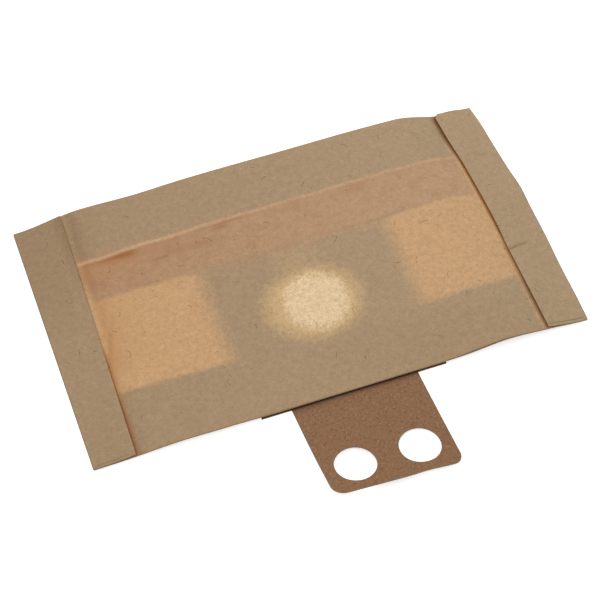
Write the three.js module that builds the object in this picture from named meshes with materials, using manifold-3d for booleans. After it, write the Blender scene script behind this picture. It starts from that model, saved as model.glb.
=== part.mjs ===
// Flat paper dust bag of a vacuum cleaner, with a card collar glued under its mouth.
// Millimetres, Z up. The bag lies folded on a table: X runs along it, and Y runs from the end of
// the collar's pull tab to the bag's far edge. The origin is on the table, under the middle.
import * as THREE from "three";
import { mergeVertices } from "three/addons/utils/BufferGeometryUtils.js";
import Module from "manifold-3d";

const wasm = await Module();
wasm.setup();
const { smoothstep, lerp, clamp } = THREE.MathUtils;

// Bag, folded flat
const bagLength = 200;
const bagWidth = 118;
const gussetDepth = 27;
const paperThickness = 0.18; // two plies
const layerGap = 0.06; // air between layers that are pressed together
const mouthRadius = 14;

// End folds: how far each end reaches back over the top panel, at the near and the far edge
const leftStripNear = 16.1;
const leftStripFar = 19.5;
const rightStripNear = 16.8;
const rightStripFar = 16.8;
const foldClearance = 0.15; // between a folded end and the panel under it, where the seams meet
const sealMargin = 0.5; // the glued ends reach this far past the widest strip

// Glued seam along the top panel: the upper flap's edge faces the far side
const seamFromFarEdge = 26;
const seamOverlap = 20.5;
const seamRamp = 1.2; // length over which the upper flap climbs onto the lower one

// How the paper springs up from the table, at its highest
const farRise = 4.9; // far side, at mid length
const farRisePower = 1.5; // above 1, the panel climbs soonest next to the near edge
const farLiftShare = 0.5; // part of that rise which lifts the underside too
const rightwardTilt = 0.25; // the far side stands this share higher to the right, lower to the left
const rightArch = 5; // arch of the right end, between its two corners
const rightArchPower = 5; // the higher, the closer that arch keeps to the end
const nearArch = 1.3; // bulge of the near edge beside the card, on the right
const nearArchPower = 2; // the higher, the closer that bulge keeps to the edge

// Where those rises start and end, as shares of the way from the middle of the bag to its end
const leftFallShares = [0.72, 1];
const rightFallShares = [0.645, 0.905];
const nearClimbShares = [0.35, 0.65];
const nearFallShares = [0.84, 1];

// Collar card
const cardThickness = 0.8;
const plateWidth = 74.8;
const plateDepth = 76;
const plateLip = 0.1; // how far the plate shows past the bag's near edge
const plateCorner = 3;
const collarX = 3.1; // middle of the collar, from the middle of the bag
const cardMouthRadius = 18.5;
const mouthFromNearEdge = 42;
const glueGap = 0.3; // room for the glue between card and paper
const seatMargin = 2; // the paper starts to bend this far outside the plate

// Pull tab of the collar
const tabWidth = 51;
const tabLength = 43.5;
const tabSkew = 1.1; // the tab's end stands this far to the right
const fingerHoleSkew = 0.9; // and its holes this far
const tabCorner = 4.5;
const fingerHoleRadius = 8;
const fingerHoleSpacing = 25.6;
const fingerHoleFromEnd = 11.75;
const tabCurlLeft = 5.4; // how far the end of the tab curls up at each corner
const tabCurlRight = 0.9;

// Fineness of the curved faces
const lengthSteps = 14;
const endSteps = 6;
const stripSteps = 4;
const widthSteps = 4;
const gussetSteps = 2;
const foldSteps = 4;
const tabSteps = 8;
const roundSteps = 32;

// Places that follow from the sizes
const nearEdge = (tabLength - bagWidth) / 2;
const farEdge = nearEdge + bagWidth;
const tabEnd = nearEdge - tabLength;
const plateFar = nearEdge + plateDepth;
const mouthY = nearEdge + mouthFromNearEdge;
const seamEdge = farEdge - seamFromFarEdge;
const seamLow = seamEdge - seamOverlap;
const stackHeight = 4 * paperThickness + 3 * layerGap;
const foldRadius = stackHeight + paperThickness + foldClearance / 2;
const foldX = bagLength / 2 - foldRadius;
const sealWidth = Math.max(leftStripNear, leftStripFar, rightStripNear, rightStripFar) + sealMargin;
const hollowX = bagLength / 2 - sealWidth;
const seatHeight = cardThickness + glueGap;
const seatHalfWidth = plateWidth / 2 + Math.abs(collarX) + seatMargin;

// Height of the underside where it follows the card in the middle and the table at the ends
function seat(x) {
  return seatHeight * (1 - smoothstep(Math.abs(x), seatHalfWidth, bagLength / 2));
}

// How far the springy paper stands above its flat place, at a point of the bag
function rise(x, y) {
  const toFar = clamp((y - nearEdge) / bagWidth, 0, 1);
  const along = (2 * x) / bagLength;
  const ends = 1 - smoothstep(Math.abs(along), ...(along < 0 ? leftFallShares : rightFallShares));
  const farSide = farRise * (1 + rightwardTilt * along) * ends;
  const rightEnd = rightArch * ((1 + along) / 2) ** rightArchPower;
  const nearClimb = smoothstep(along, ...nearClimbShares) * (1 - smoothstep(along, ...nearFallShares));
  return (
    farSide * (1 - (1 - toFar) ** farRisePower) +
    rightEnd * Math.sin(Math.PI * toFar) +
    nearArch * nearClimb * (1 - toFar) ** nearArchPower
  );
}

// Share of the rise that lifts the whole stack: none over the card, all at the glued ends
function liftShare(x, y) {
  const towardsEnd = smoothstep(Math.abs(x), seatHalfWidth, hollowX);
  const towardsFarEdge = farLiftShare * smoothstep(y, plateFar + seatMargin, farEdge);
  return 1 - (1 - towardsEnd) * (1 - towardsFarEdge);
}

const lift = (x, y) => seat(x) + liftShare(x, y) * rise(x, y);
const puff = (x, y) => (1 - liftShare(x, y)) * rise(x, y);

// Places across the bag where its section has points
function panelPlaces() {
  const places = [seamLow - seamRamp, seamLow, seamEdge];
  for (let i = 0; i < gussetSteps; i++) {
    places.push(nearEdge + (gussetDepth * i) / gussetSteps);
    places.push(farEdge - (gussetDepth * i) / gussetSteps);
  }
  for (let i = 0; i <= widthSteps; i++) {
    places.push(lerp(nearEdge + gussetDepth, farEdge - gussetDepth, i / widthSteps));
  }
  return places.sort((a, b) => a - b);
}

const acrossPanel = panelPlaces();

// Places in one gusset as depths from the bag's edge, from the edge in to the tip
function gussetDepths(edgeInset, tip) {
  const depths = [edgeInset];
  for (let i = 1; i < gussetSteps; i++) {
    depths.push((gussetDepth * i) / gussetSteps);
  }
  depths.push(tip);
  return depths;
}

// Air between a panel and the gusset layer next to it
function panelGap(depth, puffHere) {
  return layerGap + (puffHere * clamp(depth / gussetDepth, 0, 1)) / 2;
}

// Outer outline of the folded tube at one place along it, as [y, height in the stack] pairs.
// It runs over the bottom panel, in and out of the far gusset, back over the top panel, and in
// and out of the near gusset.
function outerOutline(puffAt) {
  const height = (y) => stackHeight + puffAt(y);
  const depths = gussetDepths(0, gussetDepth - paperThickness);
  const lower = (y, d) => 2 * paperThickness + panelGap(d, puffAt(y));
  const upper = (y, d) => height(y) - 2 * paperThickness - panelGap(d, puffAt(y));
  const points = acrossPanel.map((y) => [y, 0]);
  for (const d of depths) points.push([farEdge - d, lower(farEdge - d, d)]);
  for (const d of depths.toReversed()) points.push([farEdge - d, upper(farEdge - d, d)]);
  for (const y of acrossPanel.toReversed()) {
    if (y === seamEdge) points.push([y, height(y)]);
    const onSeam = y >= seamLow && y <= seamEdge;
    points.push([y, height(y) + (onSeam ? paperThickness : 0)]);
  }
  for (const d of depths) points.push([nearEdge + d, upper(nearEdge + d, d)]);
  for (const d of depths.toReversed()) points.push([nearEdge + d, lower(nearEdge + d, d)]);
  return points;
}

// Outline of the room for dust inside the folded tube, in the same order
function innerOutline(puffAt) {
  const height = (y) => stackHeight + puffAt(y);
  const depths = gussetDepths(paperThickness, gussetDepth);
  const lower = (y, d) => paperThickness + panelGap(d, puffAt(y));
  const upper = (y, d) => height(y) - paperThickness - panelGap(d, puffAt(y));
  const across = acrossPanel.map((y) =>
    clamp(y, nearEdge + paperThickness, farEdge - paperThickness),
  );
  const points = across.map((y) => [y, paperThickness]);
  for (const d of depths) points.push([farEdge - d, lower(farEdge - d, d)]);
  for (const d of depths.toReversed()) points.push([farEdge - d, upper(farEdge - d, d)]);
  for (const y of across.toReversed()) points.push([y, height(y) - paperThickness]);
  for (const d of depths) points.push([nearEdge + d, upper(nearEdge + d, d)]);
  for (const d of depths.toReversed()) points.push([nearEdge + d, lower(nearEdge + d, d)]);
  return points;
}

// Places along the bag's body, from one fold to the other
function bodyPlaces() {
  const places = [];
  for (let i = 0; i < endSteps; i++) places.push(lerp(-foldX, -hollowX, i / endSteps));
  for (let i = 0; i < lengthSteps; i++) {
    // they crowd towards the ends, where the paper turns down
    places.push(-hollowX * Math.cos((Math.PI * i) / lengthSteps));
  }
  for (let i = 0; i <= endSteps; i++) places.push(lerp(hollowX, foldX, i / endSteps));
  return places;
}

function ring(outline, place) {
  return outline.map(([y, n]) => {
    const [x, z] = place(y, n);
    return new THREE.Vector3(x, y, z + lift(x, y));
  });
}

const bodyRing = (outline, x) => ring(outline, (y, n) => [x, n]);

// Half turn of the stack at one end: the underside runs round the outside of the fold
function turnRing(outline, side, angle) {
  return ring(outline, (y, n) => [
    side * (foldX + (foldRadius - n) * Math.sin(angle)),
    foldRadius - (foldRadius - n) * Math.cos(angle),
  ]);
}

// The folded end lying upside down on the top panel, from the fold (0) to its cut end (1)
function stripRing(outline, side, near, far, share) {
  return ring(outline, (y, n) => {
    const width = lerp(near, far, (y - nearEdge) / bagWidth);
    return [side * lerp(foldX, bagLength / 2 - width, share), 2 * foldRadius - n];
  });
}

function outerRings() {
  const pressed = outerOutline(() => 0);
  const foldedEnd = (side, near, far) => {
    const rings = [];
    for (let i = stripSteps; i > 0; i--) rings.push(stripRing(pressed, side, near, far, i / stripSteps));
    for (let i = foldSteps; i > 0; i--) rings.push(turnRing(pressed, side, (Math.PI * i) / foldSteps));
    return rings;
  };
  return [
    ...foldedEnd(-1, leftStripNear, leftStripFar),
    ...bodyPlaces().map((x) => bodyRing(outerOutline((y) => puff(x, y)), x)),
    ...foldedEnd(1, rightStripNear, rightStripFar).reverse(),
  ];
}

function innerRings() {
  const places = bodyPlaces().filter((x) => Math.abs(x) <= hollowX);
  return places.map((x) => bodyRing(innerOutline((y) => puff(x, y)), x));
}

// Triangles that fill a ring lying in an upright plane, each running the same way as the ring
function capTriangles(ring) {
  const { area, triangulateShape } = THREE.ShapeUtils;
  const flat = ring.map((point) => new THREE.Vector2(point.y, point.z));
  const way = area(flat);
  return triangulateShape(flat, []).map(([p, q, r]) => {
    const sameWay = area([flat[p], flat[q], flat[r]]) * way > 0;
    return sameWay ? [p, q, r] : [p, r, q];
  });
}

// Triangle corners of a closed skin over rings of points, with a flat cap at each end.
// Every quad is split along the same diagonal in plan, so facing layers never cross.
function skin(rings) {
  const count = rings[0].length;
  const corners = [];
  const add = (...points) => corners.push(...points);
  for (let i = 0; i + 1 < rings.length; i++) {
    for (let j = 0; j < count; j++) {
      const next = (j + 1) % count;
      const [a, b] = [rings[i][j], rings[i][next]];
      const [d, c] = [rings[i + 1][j], rings[i + 1][next]];
      if (a.y < b.y) add(a, b, c, a, c, d);
      else add(a, b, d, b, c, d);
    }
  }
  const [first, last] = [rings[0], rings.at(-1)];
  for (const [p, q, r] of capTriangles(first)) add(first[p], first[r], first[q]);
  for (const [p, q, r] of capTriangles(last)) add(last[p], last[q], last[r]);
  return corners;
}

function solidFromCorners(corners) {
  return toSolid(new THREE.BufferGeometry().setFromPoints(corners));
}

function toSolid(geometry) {
  geometry.deleteAttribute("normal");
  geometry.deleteAttribute("uv");
  const merged = mergeVertices(geometry, 1e-4);
  const vertProperties = new Float32Array(merged.attributes.position.array);
  const triVerts = new Uint32Array(merged.index.array);
  return new wasm.Manifold(new wasm.Mesh({ numProp: 3, vertProperties, triVerts }));
}

function toGeometry(solid) {
  const mesh = solid.getMesh();
  const geometry = new THREE.BufferGeometry();
  geometry.setAttribute("position", new THREE.BufferAttribute(mesh.vertProperties, 3));
  geometry.setIndex(new THREE.BufferAttribute(mesh.triVerts, 1));
  return geometry;
}

// Upright cylinder that cuts a round hole from below the bag up to a given height
function holeCutter(radius, x, y, top) {
  const bottom = -top;
  const cutter = new THREE.CylinderGeometry(radius, radius, top - bottom, roundSteps);
  cutter.rotateX(Math.PI / 2);
  cutter.translate(x, y, (top + bottom) / 2);
  return toSolid(cutter);
}

// The paper lies between the outer skin and the room's skin, which faces the other way
function makeBag() {
  const outside = skin(outerRings());
  const room = skin(innerRings()).reverse();
  const mouthTop = seatHeight + paperThickness + layerGap;
  const mouth = holeCutter(mouthRadius, collarX, mouthY, mouthTop);
  return solidFromCorners([...outside, ...room]).subtract(mouth);
}

// Outline of the card seen from above, counterclockwise from the plate's near left corner
function cardOutline() {
  const left = collarX - plateWidth / 2;
  const right = collarX + plateWidth / 2;
  const near = nearEdge - plateLip;
  const [rootLeft, rootRight] = [collarX - tabWidth / 2, collarX + tabWidth / 2];
  const [endLeft, endRight] = [rootLeft + tabSkew, rootRight + tabSkew];
  const shape = new THREE.Shape();
  shape.moveTo(left, near);
  shape.lineTo(rootLeft, near);
  shape.lineTo(endLeft, tabEnd + tabCorner);
  shape.absarc(endLeft + tabCorner, tabEnd + tabCorner, tabCorner, Math.PI, 1.5 * Math.PI);
  shape.absarc(endRight - tabCorner, tabEnd + tabCorner, tabCorner, 1.5 * Math.PI, 2 * Math.PI);
  shape.lineTo(rootRight, near);
  shape.lineTo(right, near);
  shape.absarc(right - plateCorner, plateFar - plateCorner, plateCorner, 0, 0.5 * Math.PI);
  shape.absarc(left + plateCorner, plateFar - plateCorner, plateCorner, 0.5 * Math.PI, Math.PI);
  const hole = (x, y, radius) => new THREE.Path().absarc(x, y, radius, 0, 2 * Math.PI, true);
  const [fingerX, fingerY] = [collarX + fingerHoleSkew, tabEnd + fingerHoleFromEnd];
  shape.holes.push(hole(collarX, mouthY, cardMouthRadius));
  shape.holes.push(hole(fingerX - fingerHoleSpacing / 2, fingerY, fingerHoleRadius));
  shape.holes.push(hole(fingerX + fingerHoleSpacing / 2, fingerY, fingerHoleRadius));
  return shape;
}

// Height of the card's underside: flat under the bag, curled up towards the end of the tab
function cardHeight(x, y) {
  const out = Math.max(0, nearEdge - plateLip - y) / (tabLength - plateLip);
  const curl = lerp(tabCurlLeft, tabCurlRight, (x - collarX) / tabWidth + 0.5);
  return curl * out ** 2;
}

// Bent board, a little larger than the card all round
function cardBoard() {
  const margin = 1;
  const ys = [];
  for (let i = 0; i < tabSteps; i++) ys.push(lerp(tabEnd, nearEdge - plateLip, i / tabSteps));
  ys[0] -= margin;
  ys.push(nearEdge - plateLip, plateFar + margin);
  const [left, right] = [collarX - tabWidth / 2, collarX + tabWidth / 2 + tabSkew];
  const side = (plateWidth - tabWidth) / 2 + margin;
  const xs = [left - side, left, lerp(left, right, 0.5), right, right + side];
  const rings = xs.map((x) => {
    const under = ys.map((y) => new THREE.Vector3(x, y, cardHeight(x, y)));
    const over = ys.toReversed().map((y) => {
      return new THREE.Vector3(x, y, cardHeight(x, y) + cardThickness);
    });
    return [...under, ...over];
  });
  return solidFromCorners(skin(rings));
}

function makeCard() {
  const depth = 2 * (tabCurlLeft + tabCurlRight + cardThickness);
  const curveSegments = roundSteps / 2;
  const options = { depth: 2 * depth, curveSegments, bevelEnabled: false };
  const cutter = new THREE.ExtrudeGeometry(cardOutline(), options);
  cutter.translate(0, 0, -depth);
  return cardBoard().intersect(toSolid(cutter));
}

function namedMesh(name, solid, color, roughness) {
  const material = new THREE.MeshStandardMaterial({ color, roughness, metalness: 0 });
  const mesh = new THREE.Mesh(toGeometry(solid), material);
  mesh.name = name;
  return mesh;
}

const dustBag = new THREE.Group();
dustBag.add(namedMesh("filter_bag", makeBag(), 0xa68d6f, 0.9));
dustBag.add(namedMesh("collar_card", makeCard(), 0x89664a, 0.85));

export default dustBag;
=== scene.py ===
# Flat paper dust bag of a vacuum cleaner with its card collar: the fine form and the finishes.
# Everything is worked out in millimetres, and each mesh is scaled to metres as it is made.
import math

import bpy
import numpy as np
from mathutils import Matrix, Vector
from mathutils.geometry import delaunay_2d_cdt


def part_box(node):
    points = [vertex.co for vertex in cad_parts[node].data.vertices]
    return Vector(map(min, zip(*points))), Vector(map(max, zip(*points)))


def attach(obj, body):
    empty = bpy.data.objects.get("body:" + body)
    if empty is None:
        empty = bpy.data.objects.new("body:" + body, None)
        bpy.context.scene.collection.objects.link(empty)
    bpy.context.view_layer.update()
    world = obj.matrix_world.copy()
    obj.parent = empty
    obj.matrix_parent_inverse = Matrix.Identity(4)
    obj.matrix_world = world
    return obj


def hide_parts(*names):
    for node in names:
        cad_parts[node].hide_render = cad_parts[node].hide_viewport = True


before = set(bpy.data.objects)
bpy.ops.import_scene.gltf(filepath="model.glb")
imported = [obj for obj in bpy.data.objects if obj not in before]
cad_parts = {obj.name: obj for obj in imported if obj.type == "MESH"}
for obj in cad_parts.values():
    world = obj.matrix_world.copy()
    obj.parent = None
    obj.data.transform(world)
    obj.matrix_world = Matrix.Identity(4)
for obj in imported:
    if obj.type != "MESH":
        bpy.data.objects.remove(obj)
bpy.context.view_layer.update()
collection = bpy.context.scene.collection
mm = 0.001
white = (1.0, 1.0, 1.0, 1.0)

bagLow, bagHigh = (np.array(corner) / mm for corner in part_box("filter_bag"))
cardLow, cardHigh = (np.array(corner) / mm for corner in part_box("collar_card"))
nearEdge, farEdge = bagLow[1], bagHigh[1]
bagWidth, halfLength = farEdge - nearEdge, (bagHigh[0] - bagLow[0]) / 2
collarX = (cardLow[0] + cardHigh[0]) / 2


def linear(hexColour):
    parts = [int(hexColour[i : i + 2], 16) / 255 for i in (0, 2, 4)]
    return tuple(c / 12.92 if c <= 0.04045 else ((c + 0.055) / 1.055) ** 2.4 for c in parts) + (1.0,)


def addNode(tree, kind, inputs=None, out=None, **settings):
    # adds one node with its settings, values and links, where sockets go by their identifiers,
    # and gives its first output or the named ones
    node = tree.nodes.new(kind)
    for name, value in settings.items():
        setattr(node, name, value)
    sockets = {socket.identifier: socket for socket in node.inputs}
    for name, value in (inputs or {}).items():
        if isinstance(value, bpy.types.NodeSocket):
            tree.links.new(value, sockets[name])
        else:
            sockets[name].default_value = value
    outputs = {socket.identifier: socket for socket in node.outputs}
    if isinstance(out, tuple):
        return [outputs[name] for name in out]
    return outputs[out] if out else next(iter(outputs.values()), None)


def newMaterial(name):
    material = bpy.data.materials.new(name)
    material.use_nodes = True
    material.node_tree.nodes.clear()
    return material, material.node_tree


def newObject(name, points, faces, materials=(), slots=None):
    mesh = bpy.data.meshes.new(name)
    mesh.from_pydata(np.asarray(points) * mm, [], [tuple(map(int, face)) for face in faces])
    for material in materials:
        mesh.materials.append(material)
    if slots is not None:
        mesh.polygons.foreach_set("material_index", np.asarray(slots, dtype=np.int32))
    piece = bpy.data.objects.new(name, mesh)
    collection.objects.link(piece)
    return piece


# Camera, lamps and floor

view = {
    "azimuth": -19.13,  # degrees: seen from the near left
    "elevation": 53.36,
    "roll": -0.79,
    "distance": 723.9,
    "target": (-1.93, 10.53, 0.0),
    "focal": 1839.0,  # in pixels of a picture that is 600 wide
    "picture": 600.0,
    "sensor": 36.0,
    "clip": (0.01, 20.0),  # metres
}
studio = {
    "skyStrength": 0.82,
    "keyStrength": 0.75,
    "keyFrom": (-0.35, 0.75, 1.0),  # high and behind, so the near edge throws a thin shadow
    "keySoftness": 20.0,  # degrees
    "floorColour": "f2f2f2",
    "floorSize": 3000.0,
    "floorGap": 0.1,  # mm under the bag
    "floorGlow": 0.58,  # for the camera only: the lit floor turns white and its shadows stay
}


def makeCamera():
    azimuth, elevation = math.radians(view["azimuth"]), math.radians(view["elevation"])
    level = Vector((math.sin(azimuth), -math.cos(azimuth), 0)) * math.cos(elevation)
    back = level + Vector((0, 0, math.sin(elevation)))
    data = bpy.data.cameras.new("photoCamera")
    data.sensor_width = view["sensor"]
    data.lens = view["focal"] * view["sensor"] / view["picture"]
    data.clip_start, data.clip_end = view["clip"]
    camera = bpy.data.objects.new("photoCamera", data)
    collection.objects.link(camera)
    place = Matrix.Translation((Vector(view["target"]) + back * view["distance"]) * mm)
    turn = (-back).to_track_quat("-Z", "Y").to_matrix().to_4x4()
    camera.matrix_world = place @ turn @ Matrix.Rotation(math.radians(view["roll"]), 4, "Z")
    bpy.context.scene.camera = camera


def seenDirectly(tree):
    # 1 where the camera sees a surface straight, in a mirror or through glass
    rays = ("Is Camera Ray", "Is Glossy Ray", "Is Transmission Ray")
    seen, *others = addNode(tree, "ShaderNodeLightPath", out=rays)
    for ray in others:
        seen = addNode(tree, "ShaderNodeMath", {"Value": seen, "Value_001": ray}, operation="MAXIMUM")
    return seen


def makeSky():
    world = bpy.data.worlds.new("plainStudio")
    world.use_nodes = True
    tree = world.node_tree
    tree.nodes.clear()
    inputs = {"Value": seenDirectly(tree), "To Min": studio["skyStrength"], "To Max": 1.0}
    strength = addNode(tree, "ShaderNodeMapRange", inputs)
    sky = addNode(tree, "ShaderNodeBackground", {"Color": white, "Strength": strength})
    addNode(tree, "ShaderNodeOutputWorld", {"Surface": sky})
    bpy.context.scene.world = world


def makeKey():
    lamp = bpy.data.lights.new("softKey", "SUN")
    lamp.energy = studio["keyStrength"]
    lamp.angle = math.radians(studio["keySoftness"])
    key = bpy.data.objects.new("softKey", lamp)
    collection.objects.link(key)
    key.rotation_euler = Vector(studio["keyFrom"]).to_track_quat("Z", "Y").to_euler()


def makeFloor():
    matte, tree = newMaterial("matteFloorPaint")
    inputs = {"Value": seenDirectly(tree), "Value_001": studio["floorGlow"]}
    glow = addNode(tree, "ShaderNodeMath", inputs, operation="MULTIPLY")
    lit = addNode(tree, "ShaderNodeBsdfDiffuse", {"Color": linear(studio["floorColour"])})
    shine = addNode(tree, "ShaderNodeEmission", {"Color": white, "Strength": glow})
    both = addNode(tree, "ShaderNodeAddShader", {"Shader": lit, "Shader_001": shine})
    addNode(tree, "ShaderNodeOutputMaterial", {"Surface": both})
    half = studio["floorSize"] / 2
    corners = [(-half, -half, 0), (half, -half, 0), (half, half, 0), (-half, half, 0)]
    floor = newObject("studioFloor", corners, [(0, 1, 2, 3)], [matte])
    floor.location.z = (bagLow[2] - studio["floorGap"]) * mm


makeCamera()
makeSky()
makeKey()
makeFloor()
bpy.context.scene.view_settings.view_transform = "Standard"
print("studio: camera, sky, key and floor are set")


# Form of the folded bag

bag = {
    "gusset": 27.0,  # depth of the fold along each long side
    "paper": 0.18,  # two plies
    "gap": 0.06,
    "foldClearance": 0.15,
    "leftStrip": (16.5, 19.9),  # width of the folded end at the near and the far edge
    "rightStrip": (17.2, 17.1),
    "leftSpring": (1.0, 0.1),  # how far the cut end stands off the panel, near and far
    "rightSpring": (1.0, 0.7),
    "press": 0.7,  # the glued ends are pressed to this share of the loose stack
    "pressRamp": 8.0,
    "skid": 0.35,  # the folded ends lie this much nearer than the rest
    "rightBow": (0.6, (46, 93, 16, 18)),  # the right strip's edge bows out: mm, and the stretch
    "nip": (2.4, 1.8),  # the right strip's far corner is rubbed off: along and across
    "sealMargin": 0.5,
    "seamFromFar": 26.0,
    "seamOverlap": 20.5,
    "seamRamp": 1.2,
    "seamRidge": 0.22,  # height of the crease along the upper flap's edge
    "seamRidgeWidth": 0.8,
    "seamRidgeFade": 3.0,  # mm before the glued ends
    "seamDrop": 0.25,  # over which the flap's edge falls
    "seamDips": ((-71, 9, 1.1), (-42, 8, 0.45), (64, 11, 0.85)),  # along, half length, mm nearer
    "seamShift": -0.25,
    "seamWaver": (0.08, 4.3),  # height of its waves, and mm to a radian
    "mouthRadius": 14.0,
    "mouthFromNear": 42.0,
    "seat": 1.1,  # card and glue under the bottom panel
    "seatHalf": 42.5,  # half of the length over which the panel lies flat on the card
    "plateDepth": 76.0,
    "plateMargin": 2.0,
    "farRise": 4.9,
    "farBend": 1.5,  # power of the curve across the bag
    "farLift": 0.5,
    "tilt": 0.25,
    "leftFall": (0.72, 1.0),  # shares of the half length
    "rightFall": (0.645, 0.905),
    "rightArch": (5.0, 5),  # height at the right end, and the power by which it dies away
    "nearArch": (1.3, (0.5, 0.92, 0.3, 0.16)),  # height, and the stretch of the half length
    "longWave": (0.10, 19, 0.8, 13, 0.4),  # height, then mm to a radian and phase, along and across
    "slantWave": (0.06, 8.3, 11, 2),  # height, mm to a radian along and across, phase
}
fineness = {
    "body": 190,  # stations along the bag
    "strip": 16,
    "turn": 10,
    "arc": 4,  # steps round each long fold
    "gusset": 9,
    "top": 118,
    "bottom": 48,
    "room": 80,
    "mouth": 128,
    "partedRows": (0.5, 1.9, 6),  # closer rows from the near edge: from, to, how many
    "creaseRows": (37.6, 41.2, 10),
    "flapRows": (-3.4, 1.4, 28),  # and from the upper flap's free edge
    "flapRootRows": (-1, 1, 7),
    "capStretch": 40,  # the end rings are filled as if so much taller, because the layers are thin
    "merge": 1e-4,  # mm between points that are one
}

paper, gap = bag["paper"], bag["gap"]
stack = 4 * paper + 3 * gap
turnRadius = bag["press"] * (stack + paper) + bag["foldClearance"] / 2
turnX = halfLength - turnRadius
hollowX = halfLength - max(bag["leftStrip"] + bag["rightStrip"]) - bag["sealMargin"]
seamEdge = farEdge - bag["seamFromFar"]
seamLow = seamEdge - bag["seamOverlap"]
mouthY = nearEdge + bag["mouthFromNear"]


def smoothStep(value, start, end):
    share = np.clip((value - start) / (end - start), 0, 1)
    return share * share * (3 - 2 * share)


def soft(value, low, high, softLow, softHigh):
    # 1 between two places, with soft ends
    rising = smoothStep(value, low - softLow / 2, low + softLow / 2)
    return rising * (1 - smoothStep(value, high - softHigh / 2, high + softHigh / 2))


def blend(a, b, share):
    return a + (b - a) * share


def bell(away, half, power=2):
    return np.exp(-((away / half) ** power))


def runOf(value, stops):
    # what is given at a few places, joined smoothly
    total = stops[0][1]
    for (start, before), (end, after) in zip(stops, stops[1:]):
        total = total + (after - before) * smoothStep(value, start, end)
    return total


def seat(x):
    return bag["seat"] * (1 - smoothStep(np.abs(x), bag["seatHalf"], halfLength))


def rise(x, y):
    # how far the springy paper stands above its flat place
    across = np.clip((y - nearEdge) / bagWidth, 0, 1)
    along = x / halfLength
    fall = smoothStep(-along, *bag["leftFall"]) + smoothStep(along, *bag["rightFall"])
    farSide = bag["farRise"] * (1 + bag["tilt"] * along) * (1 - fall)
    archHeight, archPower = bag["rightArch"]
    rightEnd = archHeight * ((1 + along) / 2) ** archPower
    bulgeHeight, stretch = bag["nearArch"]
    nearBulge = bulgeHeight * soft(along, *stretch)
    return (
        farSide * (1 - (1 - across) ** bag["farBend"])
        + rightEnd * np.sin(np.pi * across)
        + nearBulge * (1 - across) ** 2
    )


def liftShare(x, y):
    # none over the card, all of it at the glued ends
    towardsEnd = smoothStep(np.abs(x), bag["seatHalf"], hollowX)
    plateFar = nearEdge + bag["plateDepth"] + bag["plateMargin"]
    towardsFar = bag["farLift"] * smoothStep(y, plateFar, farEdge)
    return 1 - (1 - towardsEnd) * (1 - towardsFar)


# Local swells of the whole stack: place along the bag and from the near edge, half sizes, height
swells = [
    (-50, 118, 14, 40, -0.95),
    (90.5, 118, 5, 22, 1.2),
    (98, 66, 9, 8, 1.6),
    (98, 26, 9, 12, -1.1),
    (98, 106, 9, 8, 0.7),
    (-66, 0, 17, 22, 1.2),
    (-42, 0, 9, 16, 0.35),
    (66, 0, 14, 22, 1.8),
]


def lift(x, y):
    height = seat(x) + liftShare(x, y) * rise(x, y)
    for atX, atY, halfX, halfY, most in swells:
        away = ((x - atX) / halfX) ** 2 + ((y - nearEdge - atY) / halfY) ** 2
        height = height + most * np.exp(-away)
    return height


def puff(x, y):
    return (1 - liftShare(x, y)) * rise(x, y)


def stripEdge(side, y):
    # x of a folded end's cut edge
    near, far = bag["leftStrip"] if side < 0 else bag["rightStrip"]
    v = y - nearEdge
    width = blend(near, far, v / bagWidth)
    if side > 0:
        most, stretch = bag["rightBow"]
        width = width - most * soft(v, *stretch)
        width = width - bag["nip"][0] * np.clip((y - farEdge) / bag["nip"][1] + 1, 0, 1)
    return side * (halfLength - width)


def alongLine(x, y, start, end):
    # distance from a line between two points of the plan, and the share run along it
    way = np.array(end) - np.array(start)
    share = np.clip(((x - start[0]) * way[0] + (y - start[1]) * way[1]) / way.dot(way), 0, 1)
    return np.hypot(x - start[0] - share * way[0], y - start[1] - share * way[1]), share


# Creases as start and end in the plan, both from the near edge in y, half width and depth
creases = [
    ((83.5, 38.8), (94.0, 40.0), 0.5, 0.45),
    ((83.5, 40.5), (90.0, 41.5), 0.9, -0.25),
    ((-99.0, 1.5), (-86.0, 3.2), 0.4, 0.15),
    ((-97.0, 3.0), (-89.0, 3.4), 0.4, 0.10),
    ((-79.5, 60.0), (-76.5, 44.0), 0.8, 0.12),
    ((-78.5, 68.0), (-77.5, 56.0), 0.8, 0.10),
]


def relief(x, y):
    # slow waves of sheet that has been handled, and its few creases
    height, alongX, phaseX, alongY, phaseY = bag["longWave"]
    waves = height * np.sin(x / alongX + phaseX) * np.sin(y / alongY + phaseY)
    height, alongX, alongY, phase = bag["slantWave"]
    waves = waves + height * np.sin(x / alongX + y / alongY + phase)
    for start, end, width, depth in creases:
        away, share = alongLine(x, y - nearEdge, start, end)
        waves = waves - depth * bell(away, width) * np.sin(np.pi * share) ** 0.5
    return waves


def seamLine(x):
    # the free edge of the seam's upper flap runs a little crooked
    height, length = bag["seamWaver"]
    y = seamEdge + bag["seamShift"] + height * np.sin(x / length)
    for atX, half, dip in bag["seamDips"]:
        y = y - dip * bell(x - atX, half)
    return y


def seamHeight(x, y):
    # the upper flap climbs onto the lower one and ends in that edge, where it is creased
    edge = seamLine(x)
    step = smoothStep(y, seamLow - bag["seamRamp"], seamLow)
    step = step - smoothStep(y, edge, edge + bag["seamDrop"])
    ridge = bell(y - edge, bag["seamRidgeWidth"])
    ridge = ridge * (1 - smoothStep(np.abs(x), hollowX - bag["seamRidgeFade"], hollowX))
    return paper * step + bag["seamRidge"] * ridge


def sectionOf(*parts):
    # section of the folded tube: places across, heights in the pressed stack, and the share
    # of the springy height that each point takes
    return [np.concatenate(row) for row in zip(*(np.broadcast_arrays(*part) for part in parts))]


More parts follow.
